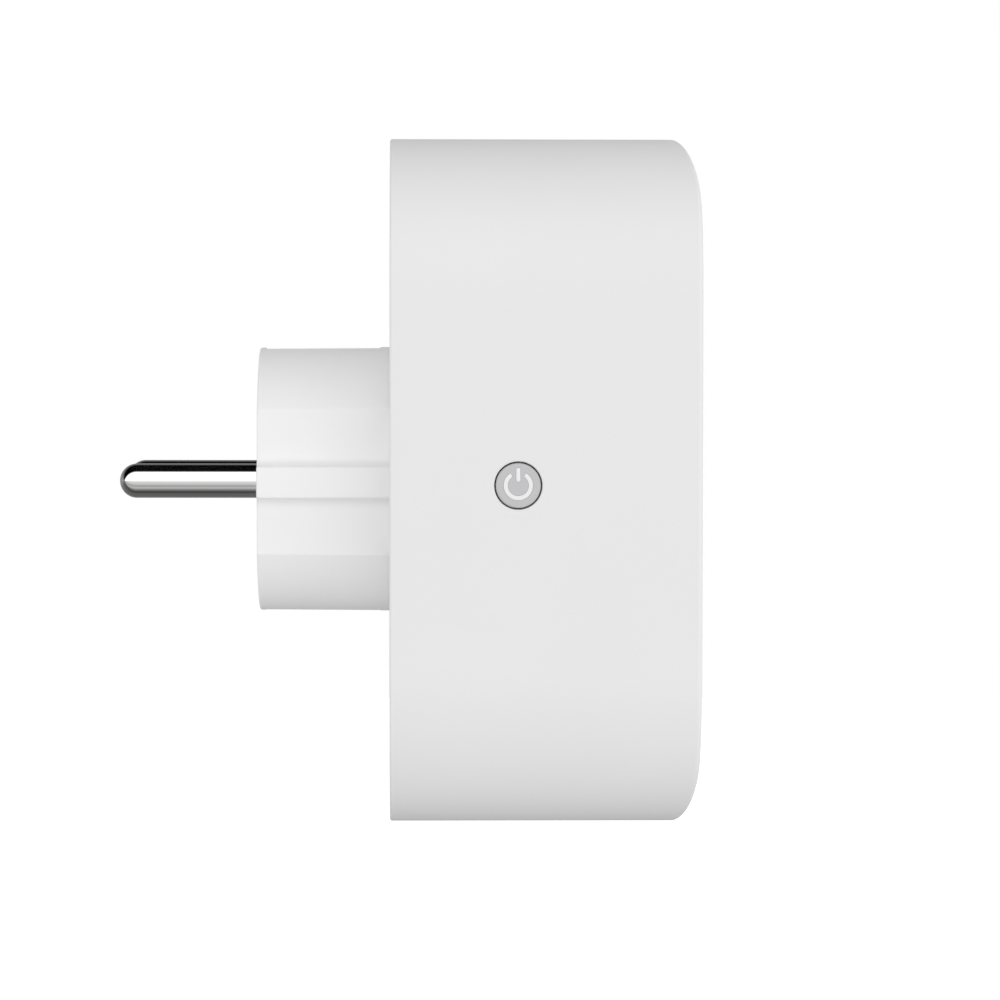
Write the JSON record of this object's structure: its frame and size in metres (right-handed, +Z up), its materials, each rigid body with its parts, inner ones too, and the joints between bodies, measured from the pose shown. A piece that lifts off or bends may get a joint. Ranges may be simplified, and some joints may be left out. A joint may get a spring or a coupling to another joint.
{
  "type": "smart plug",
  "caption": "Plug-in mains switch: a tall rounded box with a round two-pin earthed plug behind, a shuttered outlet in front and a small side button.",
  "frame": {"origin": "centre of the plug's face, midway between its two pins", "axes": "+X out of the outlet at the front, so the pins point along -X; +Z up the tall side of the housing; Y from pin to pin, with the button on the -Y side"},
  "size_m": [0.0801, 0.06, 0.0954],
  "materials": {
    "shell_white": "fine satin moulding, white",
    "plug_white": "smooth satin moulding, white",
    "dish_white": "smooth satin moulding, white",
    "button_grey": "fine satin moulding, mid grey",
    "window_white": "frosted clear window, white",
    "pin_nickel": "bright nickel plating",
    "clip_steel": "spring steel strip",
    "contact_brass": "plain brass",
    "screw_steel": "zinc plated",
    "shutter_grey": "glass filled nylon, dark grey",
    "carrier_white": "natural nylon",
    "board_green": "solder mask",
    "relay_black": "black thermoplastic",
    "core_dark": "ferrite and tape",
    "capacitor_sleeve": "dark sleeve",
    "film_yellow": "yellow box",
    "varistor_blue": "blue epoxy",
    "chip_black": "epoxy",
    "shield_tin": "tinned steel",
    "led_clear": "clear resin over phosphor"
  },
  "bodies": {
    "housing": {"front_cover": "shell_white", "rear_cover": "shell_white", "case_screws": "screw_steel", "plug_body": "plug_white", "pin_live": "pin_nickel", "pin_neutral": "pin_nickel", "plug_earth_clip": "clip_steel", "earth_sleeve": "contact_brass", "busbar_live": "contact_brass", "busbar_neutral": "contact_brass", "plug_screws": "screw_steel", "outlet_dish": "dish_white", "outlet_earth_clip": "clip_steel", "earth_link": "contact_brass", "contact_live": "contact_brass", "contact_neutral": "contact_brass", "contact_rings": "clip_steel", "shutter_carrier": "carrier_white", "carrier_screws": "screw_steel", "switch_body": "relay_black", "button_board": "board_green", "status_leds": "led_clear", "board_header": "contact_brass", "main_board": "board_green", "relay": "relay_black", "power_transformer": "core_dark", "bulk_capacitors": "capacitor_sleeve", "mains_fuse": "relay_black", "varistor": "varistor_blue", "film_capacitor": "film_yellow", "line_choke": "core_dark", "rectifier": "chip_black", "meter_chip": "chip_black", "radio_board": "board_green", "radio_shield": "shield_tin", "radio_antenna": "shield_tin"},
    "button": {"button_cap": "button_grey", "button_symbol": "window_white"},
    "plunger": {"switch_plunger": "carrier_white"},
    "shutter": {"shutter": "shutter_grey", "shutter_spring": "clip_steel"}
  },
  "joints": [
    {"name": "button_press", "type": "slide", "parent": "housing", "child": "button", "axis": [0, 1, 0], "range_m": [0, 0.0004], "stiffness_N_per_m": 900},
    {"name": "switch_press", "type": "slide", "parent": "housing", "child": "plunger", "axis": [0, 1, 0], "range_m": [0, 0.0004]},
    {"name": "shutter_slide", "type": "slide", "parent": "housing", "child": "shutter", "axis": [0, 0, 1], "range_m": [0, 0.0062], "stiffness_N_per_m": 60, "springref_m": -0.002, "deforming": ["shutter_spring"]}
  ],
  "couplings": [
    {"joint": "switch_press", "follows": "button_press", "ratio": 1}
  ]
}
